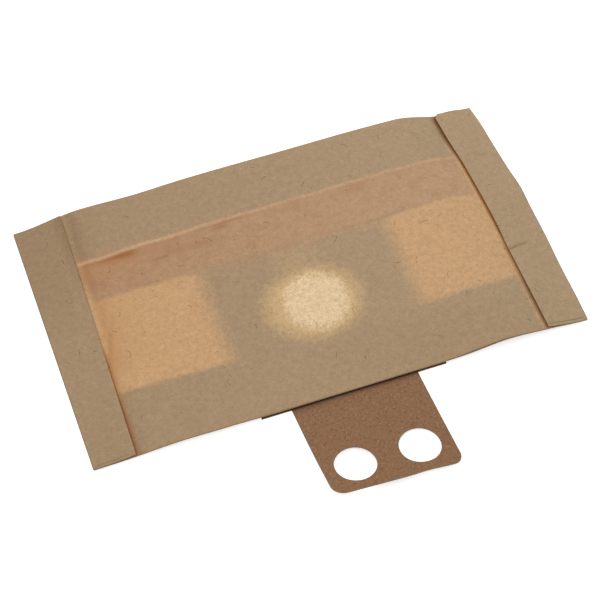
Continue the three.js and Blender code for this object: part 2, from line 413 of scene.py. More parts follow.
def rowsAcross(inset, count, *finer):
    # places across the bag, with closer rows where a line or an edge has to be crisp
    places = np.linspace(nearEdge + inset, farEdge - inset, fineness[count])
    closer = [start + np.linspace(*fineness[rows]) for start, rows in finer]
    return np.unique(np.concatenate([places, *closer]).round(3))


def outerOutline():
    fold = paper + gap / 2
    angles = np.radians(np.linspace(-90, 90, fineness["arc"] + 1)[1:-1])
    out, up = fold * np.cos(angles), fold * (1 + np.sin(angles))
    depths = np.linspace(fold, bag["gusset"] - paper, fineness["gusset"])
    share = depths / bag["gusset"] / 2
    under = rowsAcross(fold, "bottom", (nearEdge, "partedRows"), (nearEdge, "creaseRows"))
    over = rowsAcross(fold, "top", (seamEdge, "flapRows"), (seamLow, "flapRootRows"))
    return sectionOf(
        (under, 0, 0),
        (farEdge - fold + out, up, 0),
        (farEdge - depths, 2 * paper + gap, share),
        (farEdge - depths[::-1], stack - 2 * paper - gap, 1 - share[::-1]),
        (farEdge - fold + out, stack - up[::-1], 1),
        (over[::-1], stack, 1),
        (nearEdge + fold - out, stack - up, 1),
        (nearEdge + depths, stack - 2 * paper - gap, 1 - share),
        (nearEdge + depths[::-1], 2 * paper + gap, share[::-1]),
        (nearEdge + fold - out, up[::-1], 0),
    )


def innerOutline():
    depths = np.linspace(paper, bag["gusset"], fineness["gusset"])
    share = depths / bag["gusset"] / 2
    across = np.linspace(nearEdge + paper, farEdge - paper, fineness["bottom"])
    return sectionOf(
        (across, paper, 0),
        (farEdge - depths, paper + gap, share),
        (farEdge - depths[::-1], stack - paper - gap, 1 - share[::-1]),
        (across[::-1], stack - paper, 1),
        (nearEdge + depths, stack - paper - gap, 1 - share),
        (nearEdge + depths[::-1], paper + gap, share[::-1]),
    )


def outerStations():
    # kind of each station in order, from the left cut end round to the right one
    strips = np.linspace(1, 0, fineness["strip"] + 1)[:-1]
    turns = np.linspace(math.pi, 0, fineness["turn"] + 1)[:-1]
    order = [("strip", -1, s) for s in strips] + [("turn", -1, a) for a in turns]
    order += [("body", 0, x) for x in np.linspace(-turnX, turnX, fineness["body"])]
    order += [("turn", 1, a) for a in turns[::-1]] + [("strip", 1, s) for s in strips[::-1]]
    return order


def outerRing(station, y, n, k):
    kind, side, value = station
    if kind == "body":
        x = np.full_like(y, value)
        pressed = smoothStep(abs(value), hollowX, hollowX + bag["pressRamp"])
        thin = 1 - (1 - bag["press"]) * pressed
        z = n * thin + k * puff(x, y) + np.where(n >= stack, seamHeight(x, y), 0)
        weight = k
    elif kind == "turn":
        y = y - bag["skid"] * value / math.pi
        n = n * bag["press"]
        x = side * (turnX + (turnRadius - n) * math.sin(value))
        z = turnRadius - (turnRadius - n) * math.cos(value)
        weight = k + (1 - k) * value / math.pi
    else:
        y = y - bag["skid"]
        n = n * bag["press"]
        x = blend(side * turnX, stripEdge(side, y), value)
        spring = bag["leftSpring"] if side < 0 else bag["rightSpring"]
        z = 2 * turnRadius - n + blend(*spring, (y - nearEdge) / bagWidth) * value**2
        weight = 1
    return np.stack([x, y, z + lift(x, y) + weight * relief(x, y)], axis=1)


def innerRing(x, y, n, k):
    x = np.full_like(y, x)
    return np.stack([x, y, n + k * puff(x, y) + lift(x, y) + k * relief(x, y)], axis=1)


def skinFaces(stations, count, first, inward):
    i, j = np.meshgrid(np.arange(stations - 1) * count, np.arange(count), indexing="ij")
    following = (j + 1) % count
    quads = np.stack([i + j, i + following, i + count + following, i + count + j], axis=-1)
    quads = quads.reshape(-1, 4) + first
    return quads[:, ::-1] if inward else quads


def capFaces(ring, first, against):
    # fills an upright ring with triangles that run the same way as it, or against it
    y, z = ring[:, 1], ring[:, 2] * fineness["capStretch"]
    clockwise = np.dot(y, np.roll(z, -1) - np.roll(z, 1)) < 0
    loop = list(range(len(ring)))
    if clockwise:
        loop.reverse()
    result = delaunay_2d_cdt([Vector(p) for p in zip(y, z)], [], [loop], 1, fineness["merge"])
    places = [first + origins[0] for origins in result[3]]
    faces = [tuple(places[i] for i in face) for face in result[2]]
    return [face[::-1] for face in faces] if clockwise != against else faces


def bake(piece, sharpAngle):
    # works the modifiers in: a plain mesh with smooth faces and sharp edges
    graph = bpy.context.evaluated_depsgraph_get()
    seen = piece.evaluated_get(graph)
    mesh = bpy.data.meshes.new_from_object(seen, preserve_all_data_layers=True, depsgraph=graph)
    piece.modifiers.clear()
    piece.data = mesh
    mesh.name = piece.name
    mesh.shade_smooth()
    mesh.set_sharp_from_angle(angle=math.radians(sharpAngle))


def placesOf(mesh):
    flat = np.empty(len(mesh.vertices) * 3, dtype=np.float32)
    mesh.vertices.foreach_get("co", flat)
    return flat.reshape(-1, 3) / mm


def addMask(mesh, name, values):
    layer = mesh.attributes.new(name, "FLOAT", "POINT")
    layer.data.foreach_set("value", np.asarray(values, dtype=np.float32))


# Kraft paper. Its plain colour is darker towards the left end as painted shade, and most coats paint light
# through the sheet, its highlight and its shade. Each colour is one hex value or one at the bag's left end
# and one at its right end.

kraftLook = {
    # darker at the left end: painted shade
    "plain": ("a3896b", "aa9173"),
    "coats": (  # mask, colour, and how patchily its soft border runs
        # painted light through the single sheet beside the card
        ("thin", ("c49c72", "c49e75"), 0.3),
        # painted orange glow and shade in the left window, by the strip
        ("thinWarm", "b3824f", 1.0),
        # painted light through the seam's layers, reddened by its glue
        ("seam", ("ad8867", "b69574"), 0.6),
        # painted light through the mouth: its halo and its bright middle
        ("halo", "c8a87b", 0.5),
        ("core", "dec29b", 1.4),
        ("shade", "6d5338", 0.0),
        # painted highlight along the seam flap's creased edge
        ("ridge", "c9a680", 0.4),
        # darker reddish marks by the seam, and painted shade below the ridge and along wrinkles
        ("smear", "945a32", 1.0),
        # painted light, shade and orange glow beside the folded ends
        ("foldLight", "dcb88c", 0.2),
        ("foldWarm", "c07c3a", 0.4),
        ("foldDark", "74481e", 0.0),
        # painted shade along the bag's ends and in the strips' creases
        ("rim", "6f6458", 0.0),
    ),
    "everywhere": ("shade", "rim"),  # the coats that need no light through the sheet
    "tintEnds": (-80.0, 80.0),  # mm, where the first and the second of two colours are reached
    "blotch": "a3775a",  # where the glue shows reddish through the seam
    "blotches": (7.0, 0.5, 0.68, 0.3),  # mm, noise at which they begin and are full, share
    "specks": (0.9, 0.71, 0.8, 0.72),  # of dark bark: mm, the same noises, and how bright they are
    "cloudSize": 2.0,  # mm, the cloudy formation of the sheet
    "grainSize": 0.6,  # mm, matted fibres, drawn coarser than real so that they show
    "cloudEnds": (0.35, 0.65),  # the noise of its darkest and its palest places
    "depth": 0.13,  # share by which clouds and grain change the colour
    "litDepths": {"thin": 0.03, "core": 0.08},  # and more of it where light comes through
    "roughness": 0.92,
    "relief": 0.03,  # mm
    "shine": 0.15,  # matt paper and board hardly shine
}


def finishMaterial(tree, colour, roughness, height, depth):
    # depth is the real height of the relief in millimetres
    bump = addNode(tree, "ShaderNodeBump", {"Height": height, "Distance": depth * mm})
    inputs = {"Base Color": colour, "Roughness": roughness, "Normal": bump}
    inputs["Specular IOR Level"] = kraftLook["shine"]
    surface = addNode(tree, "ShaderNodeBsdfPrincipled", inputs)
    addNode(tree, "ShaderNodeOutputMaterial", {"Surface": surface})


def coated(tree, colour, tint, share):
    # lays a tint over the colour, by a share
    inputs = {"Factor_Float": share, "A_Color": colour, "B_Color": tintOf(tree, tint)}
    return addNode(tree, "ShaderNodeMix", inputs, out="Result_Color", data_type="RGBA")


def tintOf(tree, tint):
    # one colour, or a run from the colour at the left end to the one at the right end
    if isinstance(tint, str):
        return linear(tint)
    left, right = (place * mm for place in kraftLook["tintEnds"])
    place = addNode(tree, "ShaderNodeTexCoord", out="Object")
    along = addNode(tree, "ShaderNodeSeparateXYZ", {"Vector": place})
    share = addNode(tree, "ShaderNodeMapRange", {"Value": along, "From Min": left, "From Max": right})
    return coated(tree, linear(tint[0]), tint[1], share)


def paperClouds(tree):
    # two sizes of cloud in the sheet, as one value round a half
    place = addNode(tree, "ShaderNodeTexCoord", out="Object")
    layers = {}
    for socket, size, detail in (("A_Float", "cloudSize", 4.0), ("B_Float", "grainSize", 2.0)):
        scale = 1 / (kraftLook[size] * mm)
        inputs = {"Vector": place, "Scale": scale, "Detail": detail, "Roughness": 0.6}
        layers[socket] = addNode(tree, "ShaderNodeTexNoise", inputs)
    return addNode(tree, "ShaderNodeMix", {"Factor_Float": 0.5, **layers})


def spots(tree, size, start, end, full=1.0, none=0.0, detail=2.0, roughness=0.5):
    # noise of a size in millimetres, made spots that begin at one of its values and are full at
    # another, and the noise itself
    place = addNode(tree, "ShaderNodeTexCoord", out="Object")
    inputs = {"Vector": place, "Scale": 1 / (size * mm), "Detail": detail, "Roughness": roughness}
    noise = addNode(tree, "ShaderNodeTexNoise", inputs)
    inputs = {"Value": noise, "From Min": start, "From Max": end, "To Min": none, "To Max": full}
    return addNode(tree, "ShaderNodeMapRange", inputs), noise


def patchy(tree, share, clouds, most):
    # a soft border runs in patches, as light does through uneven paper
    if not most:
        return share
    rest = addNode(tree, "ShaderNodeMath", {"Value": 1.0, "Value_001": share}, operation="SUBTRACT")
    border = addNode(tree, "ShaderNodeMath", {"Value": share, "Value_001": rest}, operation="MULTIPLY")
    inputs = {"Value": clouds, "To Min": -4 * most, "To Max": 4 * most}
    swing = addNode(tree, "ShaderNodeMapRange", inputs, clamp=False)
    inputs = {"Value": border, "Value_001": swing, "Value_002": share}
    return addNode(tree, "ShaderNodeMath", inputs, operation="MULTIPLY_ADD", use_clamp=True)


def mottled(tree, colour, clouds, depth, specks=1.0):
    # the clouds lighten and darken the colour by the share depth, and keep its mean
    dark, pale = kraftLook["cloudEnds"]
    inputs = {"Value": clouds, "From Min": dark, "From Max": pale, "To Min": -1.0}
    swing = addNode(tree, "ShaderNodeMapRange", inputs)
    inputs = {"Value": swing, "Value_001": depth, "Value_002": 1.0}
    shade = addNode(tree, "ShaderNodeMath", inputs, operation="MULTIPLY_ADD")
    shade = addNode(tree, "ShaderNodeMath", {"Value": shade, "Value_001": specks}, operation="MULTIPLY")
    return addNode(
        tree,
        "ShaderNodeMix",
        {"Factor_Float": 1.0, "A_Color": colour, "B_Color": shade},
        out="Result_Color",
        data_type="RGBA",
        blend_type="MULTIPLY",
    )


def blotched(tree, colour, seam):
    # reddish glue that shows through the seam in patches
    blotches = spots(tree, *kraftLook["blotches"], detail=3.0)[0]
    onSeam = addNode(tree, "ShaderNodeMath", {"Value": blotches, "Value_001": seam}, operation="MULTIPLY")
    return coated(tree, colour, kraftLook["blotch"], onSeam)


def makeKraft(name, lit):
    # Unbleached kraft filter paper, laid down on a wire: matt brown, cloudy, with bits of bark. Where it is
    # lit, the light that comes through the single thickness beside the card and through the mouth is
    # painted into its colour, with a painted highlight and painted shade; both copies get the painted
    # shades.
    material, tree = newMaterial(name)
    clouds = paperClouds(tree)
    colour, depth = tintOf(tree, kraftLook["plain"]), kraftLook["depth"]
    for mask, tint, patchiness in kraftLook["coats"]:
        if not lit and mask not in kraftLook["everywhere"]:
            continue
        share = addNode(tree, "ShaderNodeAttribute", out="Fac", attribute_name=mask)
        colour = coated(tree, colour, tint, patchy(tree, share, clouds, patchiness))
        if mask == "seam":
            colour = blotched(tree, colour, share)
        if mask in kraftLook["litDepths"]:
            inputs = {"Value": share, "Value_001": kraftLook["litDepths"][mask], "Value_002": depth}
            depth = addNode(tree, "ShaderNodeMath", inputs, operation="MULTIPLY_ADD")
    specks = spots(tree, *kraftLook["specks"], none=1.0, detail=1.0)[0]
    colour = mottled(tree, colour, clouds, depth, specks)
    finishMaterial(tree, colour, kraftLook["roughness"], clouds, kraftLook["relief"])
    return material


cutEdge = {"tint": "7a5632", "depth": 0.2, "roughness": 0.95}


def makeCutPaper():
    # Cut end of many plies: ragged, and darker, partly as painted shade of the gap under it
    material, tree = newMaterial("kraftCutEdge")
    clouds = paperClouds(tree)
    colour = mottled(tree, linear(cutEdge["tint"]), clouds, cutEdge["depth"])
    finishMaterial(tree, colour, cutEdge["roughness"], clouds, kraftLook["relief"])
    return material


# The bag

def bagMesh():
    outer, inner = outerOutline(), innerOutline()
    stations = outerStations()
    rings = [outerRing(station, *outer) for station in stations]
    roomPlaces = np.linspace(-hollowX, hollowX, fineness["room"])
    rooms = [innerRing(x, *inner) for x in roomPlaces]
    count, roomCount = len(outer[0]), len(inner[0])
    points = np.concatenate(rings + rooms)
    start = len(rings) * count
    quads = skinFaces(len(rings), count, 0, False)
    roomQuads = skinFaces(len(rooms), roomCount, start, True)
    caps = capFaces(rings[0], 0, True) + capFaces(rings[-1], start - count, False)
    roomEnd = len(points) - roomCount
    roomCaps = capFaces(rooms[0], start, False) + capFaces(rooms[-1], roomEnd, True)
    onTop = np.logical_and(outer[1] >= stack, outer[2] == 1)
    isBody = np.array([station[0] == "body" for station in stations[:-1]])
    lit = np.logical_and(isBody[:, None], np.logical_and(onTop, np.roll(onTop, -1))[None, :])
    slots = [*np.where(lit.reshape(-1), 0, 1), *[1] * len(roomQuads)]  # paper with painted light, plain paper
    slots += [*[2] * len(caps), *[1] * len(roomCaps)]  # and the cut ends of the plies
    return points, [*quads, *roomQuads, *caps, *roomCaps], slots


# Places along the bag are from its middle, and those across it from its near edge. Stops are
# pairs of a place and what holds there, and a stretch is its two ends and how soft each is.
paint = {
    "windows": (  # painted light through the single sheet beside the card: side, where it begins and how softly, and its near and far border, each as its place at the middle of the bag and its slope
        # far border, each as its place at the middle of the bag and its slope
        (-1, 37.0, 12.0, (24.3, -0.05), (72.0, 0.0)),
        (1, 41.5, 11.0, (26.3, 0.0), (68.32, 0.04)),
    ),
    "windowSoftness": (2.6, 2.5),
    "windowGlowByStrip": (7.0, (38, 75, 14, 4), 0.75),  # painted orange glow and shade by the left strip: reach, stretch and share
    "overCard": (-37.0, 41.5, 16, 16),
    "seamBorder": ((-20, 71.6), (80, 70.6)),  # stops for the near border of the glued band
    "seamBorderDip": 1.6,  # how much nearer it is over the card
    "seamBlur": (2.4, 6.0),  # beside the card, and what is added over it
    "seamFade": 1.2,
    "aboveSeam": (2.6, ((-15, 0.5), (15, 0.0))),  # glue past the flap's edge: reach, share
    # painted glow round the mouth
    "halo": (1.5, 42.0, 1.18),  # its middle along and from the near edge, and how wide for its depth
    "haloFade": (11.5, 20.6),  # mm from that middle
    "coreFade": (10.0, 15.6),
    "plume": (1.5, 62.0, 10.0, 8.0, 0.25),  # faint painted light above the mouth: place, size, share
    "ridge": (1.0, ((-50, 0.75), (-20, 0.4))),  # painted highlight along the flap's creased edge: half width, share
    "shadeUnderRidge": (1.5, 0.5, ((-60, 0.22), (0, 0.08))),  # painted shade in a line below it: how near, half width, share
    "darkMarks": (  # darker reddish patches by the seam: place along and from the near edge, half sizes, share
        (-60.5, 89.1, 4.6, 1.6, 0.5),
        (-67.0, 88.8, 6.0, 1.3, 0.35),
        (-64.0, 88.0, 13.0, 2.6, 0.09),
        (-31.0, 83.5, 9.0, 2.0, 0.22),
        (-44.0, 84.6, 6.0, 2.6, 0.16),
        (-21.5, 88.7, 3.6, 1.1, 0.42),
        (-77.5, 83.0, 1.6, 9.0, 0.2),
        (-50.0, 87.7, 12.0, 1.6, 0.1),
        (8.0, 88.4, 9.0, 1.2, 0.1),
        (34.0, 87.9, 14.0, 1.8, 0.1),
    ),
    # an orange patch along the seam at the left, laid in the painted glow coat
    "warmSeamPatch": (-72.0, 86.0, 18.0, 7.0, 0.13),
    "glowAlongLongEdges": (0.9, 0.15),  # painted orange glow along the near and far edges: half width, share
    "besideFolds": (  # coat, side, power of its fall, and stops for its width and its share: painted light that creeps along the sheet, painted shade in the nip, and painted orange where some of the light gets into it
        # that creeps along the sheet, a dark nip, and orange where some of the light gets into it
        ("foldLight", 1, 2, ((0, 1.5),), ((94, 1.0), (106, 0.2))),
        ("foldLight", -1, 2, ((0, 1.8),), ((38, 0.0), (54, 0.9), (70, 0.9), (84, 0.36))),
        ("foldDark", 1, 2, ((22, 0.65), (30, 0.5), (88, 0.5), (94, 0.65), (106, 1.15)),
            ((22, 0.8), (30, 0.24), (88, 0.24), (96, 0.8))),
        ("foldDark", -1, 2, ((4, 1.6), (30, 0.8)), ((22, 0.35), (32, 0.0))),
        ("foldWarm", 1, 2, ((0, 0.5),), ((22, 0.3), (30, 1.0), (88, 1.0), (96, 0.3))),
        ("foldWarm", -1, 2, ((0, 1.6),), ((40, 0.5), (52, 0.0))),
        ("foldWarm", -1, 1, ((0, 2.2),), ((18, 0.0), (26, 0.15), (90, 0.15), (94, 0.0))),
    ),
    "strokes": (  # dark lines, painted shade along wrinkles and darker lines by the seam: start, end, half width, share
        ((-56.0, 83.4), (-45.5, 82.4), 0.45, 0.4),
        ((-45.5, 82.4), (-43.5, 87.4), 0.5, 0.22),
        ((-72.0, 87.2), (-60.0, 86.0), 0.5, 0.15),
        ((-24.0, 90.2), (-12.0, 90.7), 0.4, 0.35),
        ((-80.5, 44.0), (-77.0, 55.0), 0.6, 0.28),
        ((-77.0, 55.0), (-73.5, 63.0), 0.5, 0.2),
        ((-79.0, 60.0), (-75.0, 70.0), 0.5, 0.15),
        ((-79.5, 76.0), (-75.5, 82.0), 0.5, 0.2),
    ),
    "shades": (  # where the sheet turns from the light
        (-95.0, 112.0, 22.0, 46.0, 0.2),
        (-90.0, 6.0, 12.0, 22.0, 0.07),
        (-79.0, 108.0, 4.5, 24.0, 0.26),
        (56.0, 8.0, 34.0, 16.0, 0.12),
        (14.0, 12.0, 22.0, 12.0, 0.06),
        (92.0, 60.0, 7.0, 60.0, 0.04),
    ),
    "stripCreaseShades": (  # painted shade in a crease and between parted layers on the folded ends: start, end, half width, share
        ((83.0, 38.2), (86.4, 39.2), 0.35, 0.9),
        ((86.4, 39.2), (91.0, 39.8), 0.5, 0.3),
        ((83.8, 0.75), (98.8, 0.8), 0.28, 0.7),
        ((-98.8, 0.75), (-86.0, 0.8), 0.28, 0.5),
    ),
    "rim": (0.6, 0.5, 0.1),  # painted shade along the bag's ends: share, and how far from the end it begins and is full
}


def patch(x, v, place):
    # a soft oval: middle along and from the near edge, half sizes, and share at the middle
    atX, atV, halfX, halfV, most = place
    return most * bell(np.hypot((x - atX) / halfX, (v - atV) / halfV), 1, power=3)


def paintWindows(mesh, x, y, v):
    # painted light through the single sheet beside the card
    low, high = paint["windowSoftness"]
    windows = []
    for side, start, softness, (near, nearSlope), (far, farSlope) in paint["windows"]:
        beside = smoothStep(side * x, start - softness / 2, start + softness / 2)
        windows.append(beside * soft(v, near + nearSlope * x, far + farSlope * x, low, high))
    addMask(mesh, "thin", np.maximum(*windows))
    reach, stretch, most = paint["windowGlowByStrip"]
    fromStrip = np.maximum(x - stripEdge(-1, y), 0)
    addMask(mesh, "thinWarm", windows[0] * np.exp(-fromStrip / reach) * soft(v, *stretch) * most)


def paintMouth(mesh, x, y, v):
    # painted glow of the light through the mouth
    haloX, haloV, stretch = paint["halo"]
    away = np.hypot((x - haloX) / stretch, v - haloV)
    halo = 1 - smoothStep(away, *paint["haloFade"])
    addMask(mesh, "halo", np.maximum(halo, patch(x, v, paint["plume"])))
    away = np.hypot(x - collarX, y - mouthY)
    addMask(mesh, "core", 1 - smoothStep(away, *paint["coreFade"]))


def paintSeam(mesh, x, y, v):
    # the glued band, painted as light through its layers, is crisp beside the windows and soft over the
    # card
    overCard = soft(x, *paint["overCard"])
    border = runOf(x, paint["seamBorder"]) - paint["seamBorderDip"] * overCard
    blur = paint["seamBlur"][0] + paint["seamBlur"][1] * overCard
    edge = seamLine(x)
    band = smoothStep(v, border - blur / 2, border + blur / 2)
    band = band * (1 - smoothStep(y, edge, edge + paint["seamFade"]))
    reach, stops = paint["aboveSeam"]
    above = np.exp(-np.maximum(y - edge, 0) / reach) * runOf(x, stops)
    addMask(mesh, "seam", np.maximum(band, np.where(y > edge, above, 0)))
    # painted highlight on the flap's creased edge
    half, stops = paint["ridge"]
    addMask(mesh, "ridge", bell(y - edge, half) * runOf(x, stops))
    below, half, stops = paint["shadeUnderRidge"]
    darkMarks = bell(edge - below - y, half) * runOf(x, stops)
    darkMarks = darkMarks + sum(patch(x, v, place) for place in paint["darkMarks"])
    for start, end, half, most in paint["strokes"]:
        darkMarks = darkMarks + most * bell(alongLine(x, v, start, end)[0], half)
    addMask(mesh, "smear", np.clip(darkMarks, 0, 1))


def paintFolds(mesh, x, y, v):
    half, most = paint["glowAlongLongEdges"]
    warm = most * (bell(v, half) + bell(v - bagWidth, half)) + patch(x, v, paint["warmSeamPatch"])
    coats = {"foldLight": 0, "foldDark": 0, "foldWarm": warm}
    # painted light, shade and orange glow beside the strips' cut edges
    for coat, side, power, widths, shares in paint["besideFolds"]:
        away = np.maximum(side * (stripEdge(side, y) - x), 0)
        coats[coat] = coats[coat] + runOf(v, shares) * bell(away, runOf(v, widths), power)
    for coat, values in coats.items():
        addMask(mesh, coat, np.clip(values, 0, 1))


def paintShades(mesh, x, y, z):
    # painted shade where the sheet turns from the light, along the bag's ends, and in the crease and parted
    # layers on the strips
    v, height = y - nearEdge, z - lift(x, y)
    shades = sum(patch(x, v, place) for place in paint["shades"])
    addMask(mesh, "shade", shades * smoothStep(height, 0, stack / 2))  # none underneath
    most, begins, full = paint["rim"]
    rim = most * smoothStep(np.abs(x), halfLength - begins, halfLength - full)
    onStrip = height > stack + paper
    for start, end, half, most in paint["stripCreaseShades"]:
        line = most * bell(alongLine(x, v, start, end)[0], half)
        rim = np.maximum(rim, onStrip * line)
    addMask(mesh, "rim", rim)


def paintBag(mesh):
    x, y, z = placesOf(mesh).T
    for layer in (paintWindows, paintMouth, paintSeam, paintFolds):
        layer(mesh, x, y, y - nearEdge)
    paintShades(mesh, x, y, z)


def makeBag():
    points, faces, slots = bagMesh()
    kraft = [makeKraft("unbleachedKraftLit", True), makeKraft("unbleachedKraft", False)]
    piece = newObject("filterBag", points, faces, [*kraft, makeCutPaper()], slots)
    cutter = makeMouthCutter()
    cut = piece.modifiers.new("mouth", "BOOLEAN")
    cut.operation, cut.solver, cut.object = "DIFFERENCE", "EXACT", cutter
    bake(piece, sharpAngle=40)
    bpy.data.objects.remove(cutter)
    paintBag(piece.data)
    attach(piece, "root")
    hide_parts("filter_bag")
    return piece


def makeMouthCutter():
    low, high = -bag["seat"], bag["seat"] + paper + gap
    angles = np.linspace(0, 2 * math.pi, fineness["mouth"], endpoint=False)
    ring = [np.array((math.cos(a), math.sin(a))) * bag["mouthRadius"] for a in angles]
    ring = [(collarX + a, mouthY + b) for a, b in ring]
    count = len(ring)
    pins = [(*p, low) for p in ring] + [(*p, high) for p in ring]
    sides = [(i, (i + 1) % count, (i + 1) % count + count, i + count) for i in range(count)]
    sides += [tuple(range(count))[::-1], tuple(range(count, 2 * count))]
    return newObject("mouthCutter", pins, sides)


# Dark slivers of bark that lie on the sheet

fibres = {
    "Density": 6400.0,  # a square metre
    "Shortest": 0.4,  # mm, and the short ones are many
    "Longest": 4.4,
    "Fibre Radius": 0.095,  # drawn broader than the real 0.025 so that they show
    "Least Bend": 0.03,  # how far the middle stands out, as a share of the length
    "Most Bend": 0.3,
    "sink": 0.06,  # into the sheet
    "Seed": 11,
    "edge": 1.0,  # none nearer to the bag's edges
    "fall": 50.0,  # mm above the table from where they drop
    "tint": "59412b",
    "grainSize": 1.3,  # mm
    "depth": 0.3,
    "relief": 0.02,
    "roughness": 0.9,
}


def makeBark():
    # Shive: a dark sliver of wood that the pulping left whole, dull and a little rough
    material, tree = newMaterial("barkFibre")
    place = addNode(tree, "ShaderNodeTexCoord", out="Object")
    scale = 1 / (fibres["grainSize"] * mm)
    grain = addNode(tree, "ShaderNodeTexNoise", {"Vector": place, "Scale": scale})
    colour = mottled(tree, linear(fibres["tint"]), grain, fibres["depth"])
    finishMaterial(tree, colour, fibres["roughness"], grain, fibres["relief"])
    return material


def fibreTree(inputs):
    # drops bent slivers on a sheet from above
    tree = bpy.data.node_groups.new("scatteredFibres", "GeometryNodeTree")
    kinds = {"Sheet": "Object", "Bark": "Material", "Middle": "Vector", "Sink": "Vector", "Seed": "Int"}
    for name in inputs:
        kind = "NodeSocket" + kinds.get(name, "Float")
        tree.interface.new_socket(name, in_out="INPUT", socket_type=kind)
    tree.interface.new_socket("Fibres", in_out="OUTPUT", socket_type="NodeSocketGeometry")
    given = tree.nodes.new("NodeGroupInput").outputs

    # where they fall
    ground = addNode(
        tree,
        "GeometryNodeMeshGrid",
        {"Size X": given["Sheet Length"], "Size Y": given["Sheet Width"], "Vertices X": 2, "Vertices Y": 2},
    )
    ground = addNode(tree, "GeometryNodeSetPosition", {"Geometry": ground, "Offset": given["Middle"]})
    inputs = {"Mesh": ground, "Density": given["Density"], "Seed": given["Seed"]}
    places = addNode(tree, "GeometryNodeDistributePointsOnFaces", inputs)
    sheet = addNode(tree, "GeometryNodeObjectInfo", {"Object": given["Sheet"]}, out="Geometry")
    hit, hitNormal, hitPlace = addNode(
        tree,
        "GeometryNodeRaycast",
        {"Target Geometry": sheet, "Ray Direction": (0.0, 0.0, -1.0), "Ray Length": 1.0},
        out=("Is Hit", "Hit Normal", "Hit Position"),
    )

    # how each one lies: flat on the sheet and turned anyhow
    flat = addNode(tree, "FunctionNodeAlignRotationToVector", {"Vector": hitNormal}, axis="Z")
    angle = addNode(tree, "FunctionNodeRandomValue", {"Max_001": 2 * math.pi, "Seed": 2}, out="Value_001")
    turn = addNode(tree, "FunctionNodeAxisAngleToRotation", {"Angle": angle})
    inputs = {"Rotation": flat, "Rotate By": turn}
    lying = addNode(tree, "FunctionNodeRotateRotation", inputs, rotation_space="LOCAL")

    # how long and how bent
    chance = addNode(tree, "FunctionNodeRandomValue", {"Seed": 3}, out="Value_001")
    mostlyLow = addNode(tree, "ShaderNodeMath", {"Value": chance, "Value_001": 3.0}, operation="POWER")
    inputs = {"Value": mostlyLow, "To Min": given["Shortest"], "To Max": given["Longest"]}
    length = addNode(tree, "ShaderNodeMapRange", inputs)
    inputs = {"Min_001": given["Least Bend"], "Max_001": given["Most Bend"], "Seed": 4}
    bend = addNode(tree, "FunctionNodeRandomValue", inputs, out="Value_001")
    height = addNode(tree, "ShaderNodeMath", {"Value": length, "Value_001": bend}, operation="MULTIPLY")
    size = addNode(tree, "ShaderNodeCombineXYZ", {"X": length, "Y": height, "Z": 1.0})

    # the slivers: a bent line of unit size, scaled, dropped, and given its thickness
    inputs = {"Resolution": 6, "Start": (-0.5, 0.0, 0.0), "Middle": (0.0, 2.0, 0.0), "End": (0.5, 0.0, 0.0)}
    line = addNode(tree, "GeometryNodeCurveQuadraticBezier", inputs)
    inputs = {"Points": places, "Selection": hit, "Instance": line, "Rotation": lying, "Scale": size}
    lines = addNode(tree, "GeometryNodeInstanceOnPoints", inputs)
    inputs = {"Geometry": lines, "Position": hitPlace, "Offset": given["Sink"]}
    lines = addNode(tree, "GeometryNodeSetPosition", inputs)
    lines = addNode(tree, "GeometryNodeRealizeInstances", {"Geometry": lines})
    inputs = {"Resolution": 5, "Radius": given["Fibre Radius"]}
    section = addNode(tree, "GeometryNodeCurvePrimitiveCircle", inputs)
    inputs = {"Curve": lines, "Profile Curve": section, "Fill Caps": True}
    slivers = addNode(tree, "GeometryNodeCurveToMesh", inputs)
    slivers = addNode(tree, "GeometryNodeSetMaterial", {"Geometry": slivers, "Material": given["Bark"]})
    output = tree.nodes.new("NodeGroupOutput")
    tree.links.new(slivers, output.inputs["Fibres"])
    return tree


def makeFibres(sheet):
    piece = newObject("barkFibres", [], [])
    scatter = piece.modifiers.new("scatter", "NODES")
    values = {name: fibres[name] for name in ("Density", "Least Bend", "Most Bend", "Seed")}
    values |= {name: fibres[name] * mm for name in ("Shortest", "Longest", "Fibre Radius")}
    values |= {
        "Sheet": sheet,
        "Bark": makeBark(),
        "Middle": (0.0, (nearEdge + farEdge) / 2 * mm, fibres["fall"] * mm),
        "Sheet Length": 2 * (halfLength - fibres["edge"]) * mm,
        "Sheet Width": (bagWidth - 2 * fibres["edge"]) * mm,
        "Sink": (0.0, 0.0, -fibres["sink"] * mm),
    }
    scatter.node_group = fibreTree(values)
    for socket in scatter.node_group.interface.items_tree:
        if socket.in_out == "INPUT":
            scatter[socket.identifier] = values[socket.name]
    bake(piece, sharpAngle=60)
    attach(piece, "root")
    return piece


# The collar card

card = {
    "thickness": 0.8,
    "plateWidth": 74.8,
    "plateDepth": 76.0,
    "lip": 0.1,
    "plateCorner": 3.0,
    "mouth": 18.5,
    "tabWidth": 51.0,
    "tabLength": 43.5,
    "tabSkew": 1.1,
    "tabCorners": (5.3, 3.6),
    "finger": 8.0,
    "fingerSpacing": 25.6,
    "fingerFromEnd": 11.75,
    "fingerSkew": 0.9,
    "curl": (5.4, 0.9),
    "wave": (16.0, 6.0, 0.6),  # place across, half width and height of a wave in the tab's end
    "step": 1.5,  # mm between points on straight sides
    "arcStep": 0.5,
    "meshStep": 2.0,
    "closeRows": (0.0, 0.3, 0.6, 1.0, 1.5, 2.2, 3.2),  # mm out from the bag's near edge
}


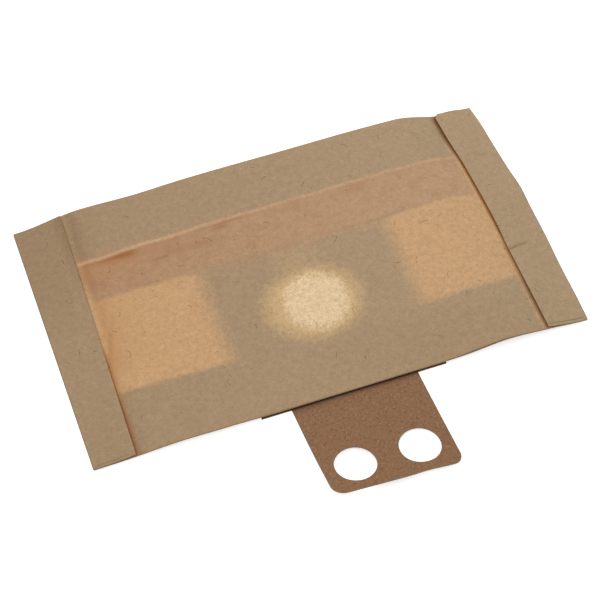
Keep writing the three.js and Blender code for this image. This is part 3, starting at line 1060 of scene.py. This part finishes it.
# Recycled brown board and its die-cut rim
boardLook = {
    "face": "8a674b",
    "nip": "2a1104",  # painted shadow against the bag's near edge
    "nipShare": 0.97,
    "nipDepth": 1.0,  # mm
    "flecks": (  # dark and pale: tint, then mm, noise at which they begin and are full, share
        ("5f422c", (1.0, 0.5, 0.68, 0.8)),
        ("b08e6c", (0.7, 0.54, 0.7, 0.8)),
    ),
    "rim": "8f8478",
    "rimGrain": (0.5, 0.35, 0.7),  # mm, and noise at which it begins and is full
    "rimRoughness": 0.95,
    "roughness": 0.88,
    "relief": 0.05,
}


def paintedNipShadow(tree, colour):
    # painted shadow where the bag's near edge overhangs the board
    dark = addNode(tree, "ShaderNodeAttribute", out="Fac", attribute_name="nip")
    return coated(tree, colour, boardLook["nip"], dark)


def makeBoard():
    # Recycled brown board, pressed from short matted fibres: matt, with dark and pale flecks
    material, tree = newMaterial("recycledBrownBoard")
    colour = linear(boardLook["face"])
    for tint, pattern in boardLook["flecks"]:
        share, noise = spots(tree, *pattern, detail=6.0, roughness=0.72)
        colour = coated(tree, colour, tint, share)
    colour = paintedNipShadow(tree, colour)
    finishMaterial(tree, colour, boardLook["roughness"], noise, boardLook["relief"])
    return material


def makeBoardEdge():
    # Die-cut rim of the board: its grey middle shows
    material, tree = newMaterial("boardCutEdge")
    share, noise = spots(tree, *boardLook["rimGrain"], detail=3.0)
    colour = coated(tree, linear(boardLook["rim"]), boardLook["face"], share)
    colour = paintedNipShadow(tree, colour)
    finishMaterial(tree, colour, boardLook["rimRoughness"], noise, boardLook["relief"])
    return material


def cardHeight(x, y):
    out = np.maximum(0, nearEdge - card["lip"] - y) / (card["tabLength"] - card["lip"])
    middle, half, most = card["wave"]
    curl = blend(*card["curl"], (x - collarX) / card["tabWidth"] + 0.5)
    return (curl + most * bell(x - middle, half)) * out**2


def arc(x, y, radius, start, end):
    count = max(3, int(radius * math.radians(abs(end - start)) / card["arcStep"]))
    angles = np.radians(np.linspace(start, end, count + 1))
    return [(x + radius * math.cos(a), y + radius * math.sin(a)) for a in angles]


def divided(corners):
    # the closed outline with its long sides cut into short steps
    points = []
    for (ax, ay), (bx, by) in zip(corners, corners[1:] + corners[:1]):
        steps = max(1, int(math.hypot(bx - ax, by - ay) / card["step"]))
        points += [(blend(ax, bx, i / steps), blend(ay, by, i / steps)) for i in range(steps)]
    return points


def cardLoops():
    low, near = nearEdge - card["tabLength"], nearEdge - card["lip"]
    left, right = collarX - card["plateWidth"] / 2, collarX + card["plateWidth"] / 2
    top = nearEdge + card["plateDepth"]
    rootLeft, rootRight = collarX - card["tabWidth"] / 2, collarX + card["tabWidth"] / 2
    endLeft, endRight = rootLeft + card["tabSkew"], rootRight + card["tabSkew"]
    (r, t), p = card["tabCorners"], card["plateCorner"]
    outline = [(left, near), (rootLeft, near)]
    outline += arc(endLeft + r, low + r, r, 180, 270) + arc(endRight - t, low + t, t, 270, 360)
    outline += [(rootRight, near), (right, near)]
    outline += arc(right - p, top - p, p, 0, 90) + arc(left + p, top - p, p, 90, 180)
    fingerY = low + card["fingerFromEnd"]
    fingerX, half = collarX + card["fingerSkew"], card["fingerSpacing"] / 2
    holes = [(collarX, mouthY, card["mouth"])]
    holes += [(fingerX + shift, fingerY, card["finger"]) for shift in (-half, half)]
    return [divided(outline)] + [arc(x, y, radius, 0, 360)[:-1] for x, y, radius in holes]


def makeCard():
    flat, chains = [], []
    for loop in cardLoops():
        chains.append(list(range(len(flat), len(flat) + len(loop))))
        flat += loop
    xs = np.arange(cardLow[0], cardHigh[0], card["meshStep"])
    rows = np.arange(cardLow[1], cardHigh[1], card["meshStep"])
    ys = np.sort(np.concatenate([rows, nearEdge - np.array(card["closeRows"])]))
    flat += [(float(a), float(b)) for a in xs for b in ys]
    edges = [(a, b) for chain in chains for a, b in zip(chain, chain[1:] + chain[:1])]
    result = delaunay_2d_cdt([Vector(p) for p in flat], edges, chains, 0, fineness["merge"])
    plan, triangles, within = result[0], result[2], result[5]
    keep = [face for face, owners in zip(triangles, within) if list(owners) == [0]]
    used = sorted({i for face in keep for i in face})
    place = {old: new for new, old in enumerate(used)}
    xy = np.array([plan[i] for i in used])
    under = np.column_stack([xy, cardHeight(xy[:, 0], xy[:, 1])])
    over = under + (0, 0, card["thickness"])
    count = len(used)
    faces, slots, sides = [], [], {}
    for face in keep:
        a, b, c = (place[i] for i in face)
        faces += [(a + count, b + count, c + count), (a, c, b)]
        slots += [0, 0]
        sides |= dict.fromkeys([(a, b), (b, c), (c, a)])
    for a, b in sides:
        if (b, a) not in sides:
            faces.append((a, b, b + count, a + count))
            slots.append(1)
    points = np.concatenate([under, over])
    piece = newObject("collarCard", points, faces, [makeBoard(), makeBoardEdge()], slots)
    bake(piece, sharpAngle=40)
    x, y, z = placesOf(piece.data).T
    onTop = z > cardHeight(x, y) + card["thickness"] / 2
    # painted shadow on the top face by the bag's near edge
    away = np.maximum(nearEdge - y, 0) / boardLook["nipDepth"]
    addMask(piece.data, "nip", np.where(onTop, boardLook["nipShare"] * np.exp(-away), 0))
    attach(piece, "root")
    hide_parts("collar_card")
    return piece


paperBag = makeBag()
print("bag: folded, cut and painted")
makeFibres(paperBag)
print("fibres: scattered over the sheet")
makeCard()
print("card: collar and pull tab are cut")
